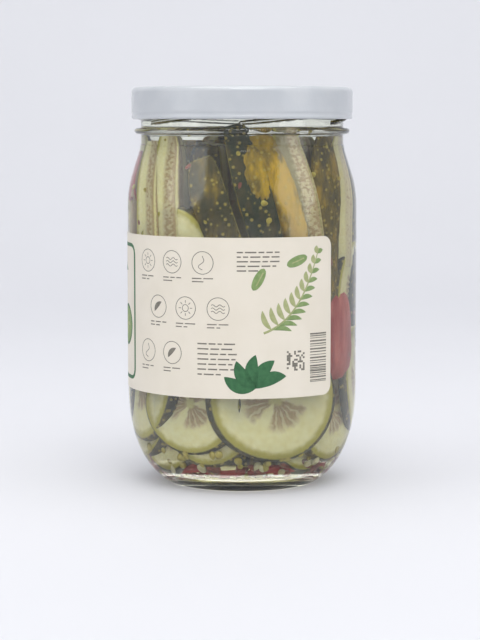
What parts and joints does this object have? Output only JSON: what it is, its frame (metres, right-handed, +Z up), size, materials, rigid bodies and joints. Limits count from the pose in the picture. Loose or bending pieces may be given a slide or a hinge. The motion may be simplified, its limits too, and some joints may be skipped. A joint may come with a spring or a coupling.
{
  "type": "pickle jar",
  "caption": "Clear glass jar of sliced pickled cucumbers in brine, with a white pressed-metal twist lid and a wrap-round paper label.",
  "frame": {"origin": "middle of the jar's foot, on the surface that it stands on", "axes": "+Z up along the jar's axis, -Y out through the middle of the label's side panel"},
  "size_m": [0.0891, 0.0892, 0.1531],
  "materials": {
    "glass": "clear flint glass, smooth and fire-polished",
    "lid_enamel": "white gloss enamel on tinplate",
    "brine": "clear liquid, faintly olive",
    "label_paper": "cream paper with a soft varnish",
    "label_ink": "printed ink",
    "cucumber_skin": "wet pickled rind, olive, warty",
    "cucumber_flesh": "wet pickled flesh, pale, with a seed core",
    "pepper": "wet red pepper skin",
    "spice": "wet seeds and garlic, cream to mustard yellow"
  },
  "bodies": {
    "root": {"glass_jar": "glass", "lid": "lid_enamel", "brine": "brine", "label": "label_paper"}
  },
  "joints": []
}
